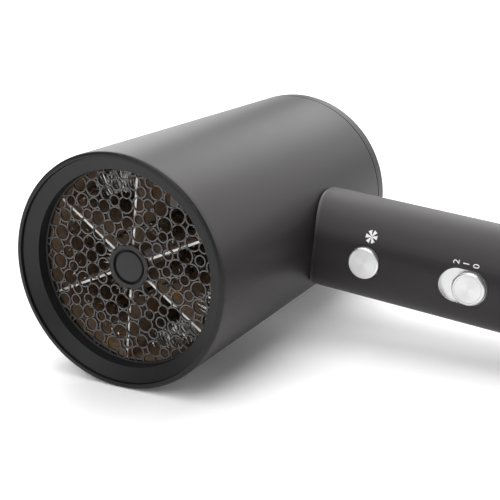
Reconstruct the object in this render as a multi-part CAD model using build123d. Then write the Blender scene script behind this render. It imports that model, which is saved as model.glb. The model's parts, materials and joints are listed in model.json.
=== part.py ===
from build123d import *
import math
import os

# A hair dryer lying on its side: the barrel and the end of the handle rest on the floor.
# The pieces are laid out in the design frame first: the barrel axis is +Y, from the air
# outlet at y = 0 to the air intake at the rear, and the handle axis is +X.
# The whole dryer is then rolled about the barrel axis until the handle's tip is on the
# floor, and moved so that its box stands on z = 0, centred on x and y.

# ---- driving dimensions, millimetres --------------------------------------------------
barrel_r = 38.0
barrel_len = 134.0
barrel_wall = 1.7
rim_fillet = 0.95
handle_r = 17.75
handle_y = 81.2  # barrel front face to handle axis
handle_tip = 194.0  # barrel axis to the far end of the handle
handle_wall = 1.8
tip_fillet = 2.0

# clearances
fit_gap = 0.1  # a static piece in its seat, on the radius
slide_gap = 0.3  # between pieces that slide past each other
bearing_gap = 0.05  # shaft in its bushings, on the radius
bore_gap = 0.02  # shaft in the fan, armature and commutator it carries

# outlet bezel, grille and hub cap
bezel_step = 1.2  # depth of the fine step between the barrel's rim and the bezel
lip_r = 32.0
lip_y = 3.6
grille_r = 31.0  # radius of the cells, inside the grille's solid rim
grille_y = 7.3
grille_t = 1.5
bezel_seat_wall = 3.0
bezel_end_y = 14.0
cell_r = 1.85  # round cells in the grille
cell_pitch = 4.6
grille_rim_step = 0.3  # the cells' face lies this far behind the rim's
hub_r = 6.6  # solid middle of the grille
cap_r = 5.0
cap_sink = 0.1  # the cap's face behind the grille's
cap_fillet = 0.5
cap_flange_w = 1.0
cap_flange_t = 0.6

# heater
liner_t = 0.6
liner_end_y = 62.0
heater_y0 = 9.7
heater_y1 = 60.0
board_t = 0.75
board_count = 6
core_r = 3.2
winding_y0 = 15.0
winding_pitch = 4.0
winding_turns = 9
outer_winding_r = 28.0
outer_wire_r = 0.9
inner_winding_r = 11.4
inner_wire_r = 0.8
wire_slack = 0.15  # between a winding and the window in each board
window_margin = 2.0  # each window beyond its first and last turn
collar_lip_r = 31.0
collar_end_y = 66.0
collar_hold = 2.0  # how far the collar reaches over the liner
cutout_size = (3.4, 14.0, 8.0)  # thermostat block
fuse_r = 1.6
fuse_len = 12.0
sensor_y = 30.0
sensor_r = 19.0

# motor and fan
motor_r = 13.85
motor_len = 29.2
motor_wall = 1.2
motor_back_y = 98.2
magnet_t = 2.3
magnet_in = 4.0  # from the can's front
magnet_over = 3.0  # longer than the armature
magnet_gap_half = 4.0
armature_r = 9.6
armature_len = 16.0
armature_slots = 5
armature_in = 6.0  # from the can's front
armature_core_r = 5.0
armature_slot_w = 1.2
commutator_r = 3.2
commutator_in = 2.0  # from the can's front
commutator_len = 3.6
brush_size = (4.0, 3.0, 2.4)
end_cap_t = 1.2
end_cap_seat = 1.6  # how far the motor's end cap goes into the can
shaft_r = 1.6
shaft_front_y = 66.4
bushing_r = 3.0
bushing_len = 2.4
motor_screw_r = 1.2
motor_screw_pcd_r = 8.0
motor_screw_bite = 1.0
duct_wall = 1.7
duct_y0 = 89.0
duct_y1 = 121.5
hub_wall = 1.6
hub_y0 = 73.0
hub_plate_t = 1.8
hub_plate_lip = 1.5  # plate left round the rear bushing
vane_count = 9
vane_t = 1.3
vane_len = 10.0
vane_turn = 0.25  # share of a step, so that no vane stands over the handle
vane_inset = 0.5
fan_hub_r = 13.5
fan_y0 = 103.0
fan_len = 14.0
fan_tip_gap = 1.0
blade_count = 7
blade_t = 1.6
blade_pitch_deg = 38.0
blade_root = 1.0  # how far a blade goes into the hub
blade_front = 0.4
blade_back = 2.0
fan_dome = 4.0
fan_dome_t = 1.5  # left closed beyond the shaft

# rear cover with the intake screen and filter
cover_len = 5.9
cover_seam = 0.3
cover_spigot = 5.6
cover_spigot_wall = 1.5
intake_r = 32.5
intake_dish_y = 2.6  # how far the dish goes in from the rear rim
screen_t = 1.5
screen_hole_r = 1.1
screen_pitch = 3.3
screen_sink = 1.6  # the screen's face behind the dish
filter_t = 0.6
retainer_t = 1.4
retainer_w = 2.6

# handle
root_gap = 1.5  # shadow gap between the barrel and the handle shell
root_inset = 0.9
root_bore_r = 13.0
root_spigot = 7.0
lead_hole_r = 10.5
cap_len = 2.6
cap_spigot = 7.0
cap_spigot_wall = 2.2
gland_bore_r = 3.3
gland_wall = 2.0
gland_inner = 4.5  # how far the gland goes in behind the end cap
gland_lip = 1.2
gland_lip_t = 1.2
cap_screw_r = 1.4
cap_screw_offset = 10.8
cap_screw_seat = 1.4
cap_screw_sink = 0.2
cap_screw_head_t = 1.1
cap_screw_bite = 3.0  # how far each screw goes in behind the cap

# cool button
button_out = 19.6  # from the barrel's surface
button_r = 5.4
button_proud = 1.3
button_travel = 1.2
button_flange_r = 6.8
button_flange_t = 1.2
plunger_r = 1.5
plunger_len = 2.0
plunger_gap = 0.08
cool_switch_size = 7.0
cool_switch_h = 4.5

# speed slide: off, low, high
knob_out = 55.8  # from the barrel's surface, at off
knob_r = 5.5
knob_proud = 0.8
knob_travel = 4.2
tray_depth = 1.7
tray_floor = 1.0
tray_wall = 0.75
stem_x = 2.8
stem_z = 2.2
carrier_t = 1.2
carrier_x = 11.0
carrier_z = 8.0
lever_x = 2.4
lever_z = 3.0
slide_switch_size = (15.0, 5.0, 8.0)

# switch frame and board inside the handle
board_out = 12.0  # from the barrel's surface
board_len = 60.0
pcb_t = 1.6
pcb_half_w = 11.0
pcb_y = -5.6  # board face that carries the switches, from the handle axis
frame_t = 1.2
board_screw_r = 0.9
board_screw_head_r = 1.7
board_screw_head_t = 1.1
board_screw_inset = 4.0
board_screw_edge = 3.0
lead_r = 1.1
motor_lead_z = 2.2
heater_lead_r = 0.9
heater_lead_z = 4.6
heater_lead_end = (25.5, 12.5)  # beside the two boards nearest the handle
lead_bend = 4.0

# ---- values worked out from them ------------------------------------------------------
barrel_bore_r = barrel_r - barrel_wall
bezel_r = barrel_bore_r - fit_gap
seat_r = bezel_r - bezel_seat_wall
plug_r = seat_r - fit_gap  # grille and liner inside the bezel
liner_r_in = plug_r - liner_t
board_r_out = liner_r_in - 2 * fit_gap
window_y0 = winding_y0 - window_margin
window_y1 = winding_y0 + winding_pitch * (winding_turns - 1) + window_margin
can_bore_r = motor_r - motor_wall
motor_y0 = motor_back_y - motor_len
duct_r = barrel_bore_r - 2 * fit_gap
duct_bore_r = duct_r - duct_wall
hub_bore_r = motor_r + 2 * fit_gap
hub_r_out = hub_bore_r + hub_wall
hub_end_y = motor_back_y + hub_plate_t
fan_r = duct_bore_r - fan_tip_gap
cover_y = barrel_len - cover_len + cover_seam
barrel_end_y = barrel_len - cover_len
cover_spigot_r = barrel_bore_r - slide_gap
cover_bore_r = cover_spigot_r - cover_spigot_wall
screen_y1 = barrel_len - intake_dish_y - screen_sink
screen_y0 = screen_y1 - screen_t
screen_r = cover_bore_r - fit_gap
filter_y0 = screen_y0 - filter_t
handle_bore_r = handle_r - handle_wall
crown_y = handle_y - handle_r  # the line of the handle that faces the outlet side
shell_end_x = handle_tip - cap_len
spigot_r = handle_bore_r - fit_gap
pcb_top_y = handle_y + pcb_y
pcb_back_y = pcb_top_y + pcb_t
lead_y = pcb_top_y - lead_r - fit_gap
board_x0 = barrel_r + board_out
board_x1 = board_x0 + board_len
button_x = barrel_r + button_out
knob_x = barrel_r + knob_out
button_face_y = crown_y - button_proud
flange_y = handle_y - math.sqrt(handle_bore_r**2 - button_flange_r**2) + slide_gap
flange_end_y = flange_y + button_flange_t
cool_switch_y = pcb_top_y - cool_switch_h
plunger_y = cool_switch_y - 0.45
tray_floor_y = crown_y + tray_depth
tray_back_y = tray_floor_y + tray_floor
tray_r = knob_r + slide_gap + tray_wall
tray_x = knob_x - knob_travel / 2
carrier_y = tray_back_y + slide_gap
slide_switch_y = pcb_top_y - slide_switch_size[1]

# roll about the barrel axis that brings the tip of the handle down to the floor
tip_arm = handle_tip - tip_fillet
tip_half = handle_r - tip_fillet
tilt = math.asin((barrel_r - tip_fillet) / math.hypot(tip_arm, tip_half)) - math.atan2(
    tip_half, tip_arm
)
reach_x = tip_arm * math.cos(tilt) + tip_half * math.sin(tilt) + tip_fillet
placing = Pos((barrel_r - reach_x) / 2, -barrel_len / 2, barrel_r) * Rot(
    0, math.degrees(tilt), 0
)

BASE = (Align.CENTER, Align.CENTER, Align.MIN)
OVER = 2.0  # how far a cutting tool runs past what it cuts


# ---- shapes used by many pieces -------------------------------------------------------
def along_y(r, y0, y1, x=0.0, z=0.0):
    """Cylinder parallel to the barrel axis."""
    return Pos(x, y0, z) * Rot(-90, 0, 0) * Cylinder(r, y1 - y0, align=BASE)


def along_x(r, x0, x1, y=handle_y, z=0.0):
    """Cylinder parallel to the handle axis."""
    return Pos(x0, y, z) * Rot(0, 90, 0) * Cylinder(r, x1 - x0, align=BASE)


def tube_y(r_out, r_in, y0, y1):
    """Tube about the barrel axis."""
    return along_y(r_out, y0, y1) - along_y(r_in, y0 - OVER, y1 + OVER)


def block(x0, x1, y0, y1, z0, z1):
    """Box between two corners."""
    centre = Pos((x0 + x1) / 2, (y0 + y1) / 2, (z0 + z1) / 2)
    return centre * Box(x1 - x0, y1 - y0, z1 - z0)


def turned(*profile):
    """Ring or disc turned about the barrel axis from (radius, y) corners."""
    face = make_face(Polyline(*profile, close=True))
    return revolve(face, Axis.Y)


def slot_y(x, travel, r, y0, y1):
    """Stadium prism parallel to the barrel axis, its long way along the handle."""
    outline = SlotCenterToCenter(travel, 2 * r)
    return Pos(x, y1, 0) * Rot(90, 0, 0) * extrude(outline, y1 - y0)


def circles(part, radius, y):
    """Circular edges of this radius whose centre is at this y."""
    round_edges = part.edges().filter_by(GeomType.CIRCLE)
    return round_edges.filter_by(
        lambda e: abs(e.radius - radius) < 1e-4 and abs(e.arc_center.Y - y) < 1e-4
    )


def spoke(r0, r1, y0, y1, thick, angle):
    """Flat radial plate about the barrel axis, at an angle from +X."""
    return Rot(0, -angle, 0) * block(r0, r1, y0, y1, -thick / 2, thick / 2)


def wire(points, r, bend):
    """Round wire along straight runs joined by bends."""
    path = FilletPolyline(*points, radius=bend)
    start = Plane(origin=points[0], z_dir=Vector(*points[1]) - Vector(*points[0]))
    return sweep(start * Circle(r), path=path)


def hex_grid(pitch, r_min, r_max):
    """Centres of a triangular grid between two radii."""
    centres = []
    steps = int(r_max / pitch) + 2
    for row in range(-steps, steps + 1):
        for col in range(-steps, steps + 1):
            x = pitch * (col + 0.5 * (row % 2))
            y = pitch * row * math.sqrt(3) / 2
            if r_min <= math.hypot(x, y) <= r_max:
                centres.append((x, y))
    return centres


def screen_disc(r, y0, thick, hole_r, centres, middle_hole_r=0.0):
    """Flat disc about the barrel axis with a round hole at each centre."""
    face = Circle(r) - Locations(*centres) * Circle(hole_r)
    if middle_hole_r:
        face -= Circle(middle_hole_r)
    return Pos(0, y0 + thick, 0) * Rot(90, 0, 0) * extrude(face, thick)


# ---- barrel and outlet ----------------------------------------------------------------
def barrel_shell():
    shell = tube_y(barrel_r, barrel_bore_r, 0, barrel_end_y)
    shell = fillet(circles(shell, barrel_r, 0), rim_fillet)
    shell = fillet(circles(shell, barrel_r, barrel_end_y), cover_seam)
    return shell - along_x(lead_hole_r, barrel_r / 2, barrel_r + OVER)


def outlet_bezel():
    """Dished ring inside the barrel's rim, with the seats of the grille and the liner."""
    return turned(
        (bezel_r, bezel_step),
        (lip_r, lip_y),
        (lip_r, grille_y),
        (seat_r, grille_y),
        (seat_r, bezel_end_y),
        (bezel_r, bezel_end_y),
    )


def outlet_grille():
    """Plate of open round cells with a rim that seats on the bezel's shoulder."""
    centres = hex_grid(cell_pitch, hub_r + cell_r, grille_r - cell_r)
    face_y = grille_y + grille_rim_step
    back_y = grille_y + grille_t
    plate = screen_disc(
        plug_r, face_y, back_y - face_y, cell_r, centres, cap_r + slide_gap
    )
    return plate + tube_y(plug_r, lip_r + bore_gap, grille_y, back_y)


def hub_cap():
    """Plain round cap in the middle of the grille, held by a flange behind it."""
    face_y = grille_y + grille_rim_step + cap_sink
    back_y = grille_y + grille_t
    cap = along_y(cap_r, face_y, back_y + cap_flange_t)
    cap = fillet(circles(cap, cap_r, face_y), cap_fillet)
    return cap + along_y(cap_r + cap_flange_w, back_y, back_y + cap_flange_t)


# ---- heater ---------------------------------------------------------------------------
def heater_liner():
    return tube_y(plug_r, liner_r_in, grille_y + grille_t, liner_end_y)


def heater_core():
    """Six-sided ceramic rod whose flats carry the boards."""
    outline = RegularPolygon(core_r, board_count, major_radius=False)
    rod = extrude(outline, heater_y1 - heater_y0)
    return Pos(0, heater_y0, 0) * Rot(-90, 0, 0) * rod


def heater_board(angle):
    """Mica board with a window for each winding."""
    board = spoke(core_r, board_r_out, heater_y0, heater_y1, board_t, angle)
    for r, wire_r in ((outer_winding_r, outer_wire_r), (inner_winding_r, inner_wire_r)):
        half = wire_r + wire_slack
        board -= spoke(r - half, r + half, window_y0, window_y1, 2 * board_t, angle)
    return board


def winding(r, wire_r):
    """Turns of heater wire, each a separate ring."""
    turns = []
    for turn in range(winding_turns):
        y = winding_y0 + turn * winding_pitch
        turns.append(Pos(0, y, 0) * Rot(90, 0, 0) * Torus(r, wire_r))
    return turns


def heater_collar():
    """Ring that holds the liner's rear end in the barrel."""
    return turned(
        (duct_r, liner_end_y - collar_hold),
        (seat_r, liner_end_y - collar_hold),
        (seat_r, liner_end_y),
        (collar_lip_r, liner_end_y),
        (collar_lip_r, collar_end_y),
        (duct_r, collar_end_y),
    )


def thermostat():
    x0 = board_t / 2
    half = cutout_size[2] / 2
    return block(
        x0, x0 + cutout_size[0], sensor_y, sensor_y + cutout_size[1],
        sensor_r - half, sensor_r + half,
    )


def thermal_fuse():
    x = -(board_t / 2 + fit_gap + fuse_r)
    return along_y(fuse_r, sensor_y, sensor_y + fuse_len, x=x, z=-sensor_r)


# ---- motor and fan --------------------------------------------------------------------
def motor_screw_places():
    return [(motor_screw_pcd_r, 0.0), (-motor_screw_pcd_r, 0.0)]


def motor_can():
    can = along_y(motor_r, motor_y0, motor_back_y)
    can -= along_y(can_bore_r, motor_y0 - OVER, motor_back_y - motor_wall)
    can += along_y(bushing_r + motor_wall, motor_back_y - bushing_len, motor_back_y)
    can -= along_y(bushing_r + fit_gap, motor_back_y - bushing_len - OVER, motor_back_y + OVER)
    for x, z in motor_screw_places():
        can -= along_y(motor_screw_r + fit_gap, motor_back_y - OVER, motor_back_y + OVER, x, z)
    return can


def motor_magnets():
    """Two curved magnets against the can."""
    ring = tube_y(
        can_bore_r - fit_gap, can_bore_r - magnet_t,
        motor_y0 + magnet_in, motor_y0 + magnet_in + armature_len + magnet_over,
    )
    gap = block(-motor_r, motor_r, motor_y0, motor_back_y, -magnet_gap_half, magnet_gap_half)
    return list((ring - gap).solids())


def motor_end_cap():
    """Front cover of the motor, with the front bushing's seat."""
    seat_y = motor_y0 - bushing_len
    cap = along_y(motor_r - fit_gap, motor_y0 - end_cap_t, motor_y0)
    cap += along_y(can_bore_r - fit_gap, motor_y0 - end_cap_t, motor_y0 + end_cap_seat)
    cap += along_y(bushing_r + motor_wall, seat_y, motor_y0)
    return cap - along_y(bushing_r + fit_gap, seat_y - OVER, motor_y0 + OVER)


def motor_bushings():
    bores = (motor_y0 - bushing_len, motor_back_y - bushing_len)
    return [tube_y(bushing_r, shaft_r + bearing_gap, y, y + bushing_len) for y in bores]


def motor_shaft():
    return along_y(shaft_r, shaft_front_y, fan_y0 + fan_len - fan_dome_t)


def motor_armature():
    """Slotted rotor, carried by the shaft."""
    y0 = motor_y0 + armature_in
    rotor = tube_y(armature_r, shaft_r + bore_gap, y0, y0 + armature_len)
    for k in range(armature_slots):
        angle = 360 / armature_slots * (k + 0.5)
        rotor -= spoke(
            armature_core_r, armature_r + OVER,
            y0 - OVER, y0 + armature_len + OVER, armature_slot_w, angle,
        )
    return rotor


def motor_commutator():
    y0 = motor_y0 + commutator_in
    return tube_y(commutator_r, shaft_r + bore_gap, y0, y0 + commutator_len)


def motor_brushes():
    """Two carbon blocks in the end cap, one each side of the commutator."""
    length, height, width = brush_size
    y0 = motor_y0 + end_cap_seat
    x0 = commutator_r + slide_gap
    right = block(x0, x0 + length, y0, y0 + height, -width / 2, width / 2)
    return [right, Rot(0, 180, 0) * right]


def motor_screws():
    """Two screws through the duct's hub into the back of the motor."""
    screws = []
    for x, z in motor_screw_places():
        head = along_y(2 * motor_screw_r, hub_end_y, hub_end_y + motor_screw_r, x, z)
        screws.append(head + along_y(motor_screw_r, motor_back_y - motor_screw_bite, hub_end_y, x, z))
    return screws


def fan_duct():
    """Duct round the fan, its guide vanes and the hub that holds the motor."""
    duct = tube_y(duct_r, duct_bore_r, duct_y0, duct_y1)
    hub = tube_y(hub_r_out, hub_bore_r, hub_y0, hub_end_y)
    hub += tube_y(hub_r_out, bushing_r + hub_plate_lip, motor_back_y, hub_end_y)
    for x, z in motor_screw_places():
        hub -= along_y(motor_screw_r + fit_gap, motor_back_y - OVER, hub_end_y + OVER, x, z)
    for k in range(vane_count):
        angle = 360 / vane_count * (k + vane_turn)
        hub += spoke(
            hub_r_out - hub_wall / 2, duct_r - duct_wall / 2,
            hub_end_y - vane_len, hub_end_y - vane_inset, vane_t, angle,
        )
    return duct + hub


def fan_impeller():
    """Axial fan: a domed hub and pitched blades trimmed to the duct."""
    y1 = fan_y0 + fan_len
    hub = along_y(fan_hub_r, fan_y0, y1)
    hub = fillet(circles(hub, fan_hub_r, y1), fan_dome)
    middle = (fan_y0 + y1) / 2
    span = tube_y(fan_r, fan_hub_r - blade_root, fan_y0 + blade_front, y1 - blade_back)
    chord = 3 * fan_len
    for k in range(blade_count):
        blade = Box(2 * fan_r, chord, blade_t)
        blade = Pos(fan_r, 0, 0) * Rot(blade_pitch_deg, 0, 0) * blade
        hub += (Pos(0, middle, 0) * Rot(0, 360 / blade_count * k, 0) * blade) & span
    return hub - along_y(shaft_r + bore_gap, fan_y0 - OVER, y1 - fan_dome_t)


# ---- rear cover -----------------------------------------------------------------------
def rear_cover():
    """Removable ring that carries the intake screen and the filter."""
    cover = turned(
        (barrel_r, cover_y),
        (barrel_r, barrel_len),
        (barrel_bore_r, barrel_len),
        (intake_r, barrel_len - intake_dish_y),
        (intake_r, screen_y1),
        (cover_bore_r, screen_y1),
        (cover_bore_r, cover_y - cover_spigot),
        (cover_spigot_r, cover_y - cover_spigot),
        (cover_spigot_r, cover_y),
    )
    return fillet(circles(cover, barrel_r, barrel_len), rim_fillet)


def intake_screen():
    centres = hex_grid(screen_pitch, 0, intake_r - 2 * screen_hole_r)
    return screen_disc(screen_r, screen_y0, screen_t, screen_hole_r, centres)


def filter_mesh():
    return along_y(screen_r, filter_y0, screen_y0)


def filter_retainer():
    return tube_y(screen_r, screen_r - retainer_w, filter_y0 - retainer_t, filter_y0)


# ---- handle ---------------------------------------------------------------------------
def handle_shell():
    shell = along_x(handle_r, 0, shell_end_x)
    shell -= along_x(handle_bore_r, -OVER, shell_end_x + OVER)
    shell -= along_y(barrel_r + root_gap, 0, barrel_len)
    shell -= along_y(button_r + slide_gap, crown_y - OVER, handle_y, x=button_x)
    return shell - slot_y(tray_x, knob_travel, tray_r + fit_gap, crown_y - OVER, handle_y)


def root_collar():
    """Dark collar that joins the handle to the barrel and shows as a fine gap."""
    saddle = along_x(handle_r - root_inset, 0, 2 * barrel_r)
    saddle &= along_y(barrel_r + root_gap - fit_gap, 0, barrel_len)
    saddle += along_x(spigot_r, 0, barrel_r + root_gap + root_spigot)
    saddle -= along_x(root_bore_r, -OVER, 2 * barrel_r)
    return saddle - along_y(barrel_r + fit_gap, 0, barrel_len)


def cap_screw_places():
    return (-cap_screw_offset, cap_screw_offset)


def handle_end_cap():
    """Cap on the end of the handle, with the cord's inlet."""
    cap = along_x(handle_r, shell_end_x, handle_tip)
    edges = cap.edges().filter_by(GeomType.CIRCLE).sort_by(Axis.X)[-1]
    cap = fillet(edges, tip_fillet)
    spigot = along_x(spigot_r, shell_end_x - cap_spigot, shell_end_x)
    spigot -= along_x(spigot_r - cap_spigot_wall, shell_end_x - cap_spigot - OVER, shell_end_x)
    cap += spigot
    cap -= along_x(gland_bore_r + gland_wall + fit_gap, 0, handle_tip + OVER)
    for z in cap_screw_places():
        cap -= along_x(cap_screw_r + fit_gap, 0, handle_tip + OVER, z=z)
        cap -= along_x(2 * cap_screw_r + fit_gap, handle_tip - cap_screw_seat, handle_tip + OVER, z=z)
    return cap


def cord_gland():
    """Rubber bush in the end cap, with a lip behind it; the cord's way in."""
    r_out = gland_bore_r + gland_wall
    inner_x = shell_end_x - gland_inner
    gland = along_x(r_out, inner_x, handle_tip)
    gland += along_x(r_out + gland_lip, shell_end_x - gland_lip_t, shell_end_x)
    return gland - along_x(gland_bore_r, inner_x - OVER, handle_tip + OVER)


def end_cap_screws():
    screws = []
    for z in cap_screw_places():
        face_x = handle_tip - cap_screw_sink
        head = along_x(2 * cap_screw_r, face_x - cap_screw_head_t, face_x, z=z)
        shank = along_x(cap_screw_r, shell_end_x - cap_screw_bite, face_x - cap_screw_head_t / 2, z=z)
        screws.append(head + shank)
    return screws


# ---- switches -------------------------------------------------------------------------
def board_screw_places():
    z = pcb_half_w - board_screw_edge
    return [(board_x0 + board_screw_inset, z), (board_x1 - board_screw_inset, -z)]


def with_screw_holes(part):
    for x, z in board_screw_places():
        part -= along_y(board_screw_r + fit_gap, crown_y, handle_y + handle_r, x, z)
    return part


def switch_frame():
    """Tray across the handle's bore that carries the board."""
    near = handle_y - pcb_back_y
    half_w = math.sqrt(handle_bore_r**2 - near**2) - fit_gap
    plate = block(board_x0, board_x1, pcb_back_y, pcb_back_y + frame_t, -half_w, half_w)
    return with_screw_holes(plate)


def control_board():
    board = block(
        board_x0 + 1, board_x1 - 1, pcb_top_y, pcb_back_y, -pcb_half_w, pcb_half_w
    )
    return with_screw_holes(board)


def board_screws():
    screws = []
    for x, z in board_screw_places():
        head = along_y(board_screw_head_r, pcb_top_y - board_screw_head_t, pcb_top_y, x, z)
        shank = along_y(board_screw_r, pcb_top_y, pcb_back_y + frame_t, x, z)
        screws.append(head + shank)
    return screws


def cool_button():
    cap = along_y(button_r, button_face_y, flange_y, x=button_x)
    cap = fillet(circles(cap, button_r, button_face_y), 0.25)
    cap += along_y(button_flange_r, flange_y, flange_end_y, x=button_x)
    return cap + along_y(plunger_r, flange_end_y, plunger_y, x=button_x)


def cool_switch():
    half = cool_switch_size / 2
    body = block(button_x - half, button_x + half, cool_switch_y, pcb_top_y, -half, half)
    well_y = plunger_y + plunger_len + button_travel + slide_gap
    return body - along_y(plunger_r + plunger_gap, cool_switch_y - OVER, well_y, x=button_x)


def cool_plunger():
    return along_y(plunger_r, plunger_y, plunger_y + plunger_len, x=button_x)


def slide_tray():
    """Recessed stadium tray that the speed knob runs in."""
    tray = slot_y(tray_x, knob_travel, tray_r, crown_y - OVER, tray_back_y)
    tray &= along_x(handle_r, 0, handle_tip)
    tray -= slot_y(tray_x, knob_travel, tray_r - tray_wall, crown_y - OVER, tray_floor_y)
    half = (knob_travel + stem_x) / 2 + slide_gap
    slot_half = stem_z / 2 + slide_gap
    return tray - block(
        tray_x - half, tray_x + half, crown_y, tray_back_y + OVER, -slot_half, slot_half
    )


def slide_knob():
    top = crown_y - knob_proud
    knob = along_y(knob_r, top, tray_floor_y - slide_gap, x=knob_x)
    knob = fillet(circles(knob, knob_r, top), 0.25)
    return knob + block(
        knob_x - stem_x / 2, knob_x + stem_x / 2, tray_floor_y - slide_gap, carrier_y,
        -stem_z / 2, stem_z / 2,
    )


def slide_carrier():
    """Plate under the tray that keeps the knob in and drives the switch."""
    return block(
        knob_x - carrier_x / 2, knob_x + carrier_x / 2, carrier_y, carrier_y + carrier_t,
        -carrier_z / 2, carrier_z / 2,
    )


def slide_lever():
    return block(
        knob_x - lever_x / 2, knob_x + lever_x / 2,
        carrier_y + carrier_t, slide_switch_y - slide_gap, -lever_z / 2, lever_z / 2,
    )


def slide_switch():
    length, _, width = slide_switch_size
    return block(
        tray_x - length / 2, tray_x + length / 2, slide_switch_y, pcb_top_y,
        -width / 2, width / 2,
    )


# ---- leads inside ---------------------------------------------------------------------
def motor_leads():
    """Two leads from the board to the front of the motor."""
    front_y = motor_y0 - 1.2 - fit_gap - lead_r
    out_x = (hub_r_out + barrel_bore_r) / 2
    leads = []
    for z in (-motor_lead_z, motor_lead_z):
        points = [
            (board_x0 + 3.0, lead_y, z),
            (out_x, lead_y, z),
            (out_x, front_y, z),
            (bushing_r + 4.0, front_y, z),
        ]
        leads.append(wire(points, lead_r, lead_bend))
    return leads


def heater_leads():
    """Two leads from the board to the nearest mica boards."""
    leads = []
    for side in (-1, 1):
        points = [
            (board_x0 + 3.0, lead_y, side * heater_lead_z),
            (barrel_bore_r - lead_bend, lead_y, side * heater_lead_z),
            (heater_lead_end[0], lead_y, side * heater_lead_end[1]),
            (heater_lead_end[0], window_y1 + 3.0, side * heater_lead_end[1]),
        ]
        leads.append(wire(points, heater_lead_r, lead_bend))
    return leads


# ---- all pieces, one file each --------------------------------------------------------
pieces = {
    "barrel_shell": barrel_shell(),
    "outlet_bezel": outlet_bezel(),
    "outlet_grille": outlet_grille(),
    "hub_cap": hub_cap(),
    "heater_liner": heater_liner(),
    "heater_core": heater_core(),
    "heater_wire_outer": winding(outer_winding_r, outer_wire_r),
    "heater_wire_inner": winding(inner_winding_r, inner_wire_r),
    "heater_collar": heater_collar(),
    "thermostat": thermostat(),
    "thermal_fuse": thermal_fuse(),
    "fan_duct": fan_duct(),
    "motor_can": motor_can(),
    "motor_magnets": motor_magnets(),
    "motor_end_cap": motor_end_cap(),
    "motor_bushings": motor_bushings(),
    "motor_brushes": motor_brushes(),
    "motor_screws": motor_screws(),
    "motor_shaft": motor_shaft(),
    "motor_armature": motor_armature(),
    "motor_commutator": motor_commutator(),
    "fan_impeller": fan_impeller(),
    "rear_cover": rear_cover(),
    "intake_screen": intake_screen(),
    "filter_mesh": filter_mesh(),
    "filter_retainer": filter_retainer(),
    "handle_shell": handle_shell(),
    "root_collar": root_collar(),
    "handle_end_cap": handle_end_cap(),
    "cord_gland": cord_gland(),
    "end_cap_screws": end_cap_screws(),
    "switch_frame": switch_frame(),
    "control_board": control_board(),
    "board_screws": board_screws(),
    "cool_button": cool_button(),
    "cool_plunger": cool_plunger(),
    "cool_switch": cool_switch(),
    "slide_tray": slide_tray(),
    "slide_knob": slide_knob(),
    "slide_carrier": slide_carrier(),
    "slide_lever": slide_lever(),
    "slide_switch": slide_switch(),
    "motor_leads": motor_leads(),
    "heater_leads": heater_leads(),
}
for k in range(board_count):
    pieces[f"heater_board_{k + 1}"] = heater_board(360 / board_count * (k + 0.5))

os.makedirs("parts", exist_ok=True)
for name, piece in pieces.items():
    placed = placing * (Compound(piece) if isinstance(piece, list) else piece)
    export_step(placed, f"parts/{name}.step")

print("tilt", round(math.degrees(tilt), 3), "deg")
print("box half length", round((reach_x + barrel_r) / 2, 3))
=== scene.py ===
import json
import math
import random

import bmesh
import bpy
import numpy as np
from mathutils import Matrix, Vector


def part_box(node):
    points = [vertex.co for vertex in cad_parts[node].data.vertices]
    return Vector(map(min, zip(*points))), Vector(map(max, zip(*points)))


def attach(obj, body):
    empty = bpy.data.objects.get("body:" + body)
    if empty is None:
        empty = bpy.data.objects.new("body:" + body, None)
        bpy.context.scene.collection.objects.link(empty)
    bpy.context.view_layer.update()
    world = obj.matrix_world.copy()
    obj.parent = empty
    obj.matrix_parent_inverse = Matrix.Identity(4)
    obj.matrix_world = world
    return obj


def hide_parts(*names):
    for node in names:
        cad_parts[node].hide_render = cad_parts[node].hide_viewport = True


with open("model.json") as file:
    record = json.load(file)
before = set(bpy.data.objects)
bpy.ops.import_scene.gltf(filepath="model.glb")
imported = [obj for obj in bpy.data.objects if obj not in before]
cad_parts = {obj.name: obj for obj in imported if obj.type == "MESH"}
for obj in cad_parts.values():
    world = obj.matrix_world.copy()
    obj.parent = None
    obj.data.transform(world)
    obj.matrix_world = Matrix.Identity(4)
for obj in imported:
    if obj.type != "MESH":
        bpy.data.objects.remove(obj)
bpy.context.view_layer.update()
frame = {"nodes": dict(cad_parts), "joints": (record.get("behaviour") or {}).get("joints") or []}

# ---- places and sizes, from the frame ---------------------------------------------------
# Pieces are modelled in millimetres about the barrel: +X along the handle, +Y into the
# barrel from its front rim, +Z up the barrel. PLACE takes them to the frame, in metres.
MM = 0.001
JOINTS = {joint["name"]: joint for joint in frame["joints"]}
SLIDE_WAY = Vector(JOINTS["speed_slide"]["axis"])
DIP = math.atan2(SLIDE_WAY.z, -SLIDE_WAY.x)  # the handle dips to the floor by this angle
AXIS = Vector(JOINTS["fan_spin"]["pos_m"])
FRONT_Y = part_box("barrel_shell")[0].y
PLACE = (
    Matrix.Translation((AXIS.x, FRONT_Y, AXIS.z))
    @ Matrix.Rotation(DIP, 4, "Y")
    @ Matrix.Scale(MM, 4)
)
DEPTH = Matrix.Rotation(math.radians(-90), 4, "X")  # local +Z becomes depth into the barrel


def in_barrel(node):
    """Lowest and highest corner of a CAD node in the barrel's millimetres."""
    back = PLACE.inverted()
    corners = [back @ v.co for v in frame["nodes"][node].data.vertices]
    low = Vector([min(c[i] for c in corners) for i in range(3)])
    high = Vector([max(c[i] for c in corners) for i in range(3)])
    return low, high


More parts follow.
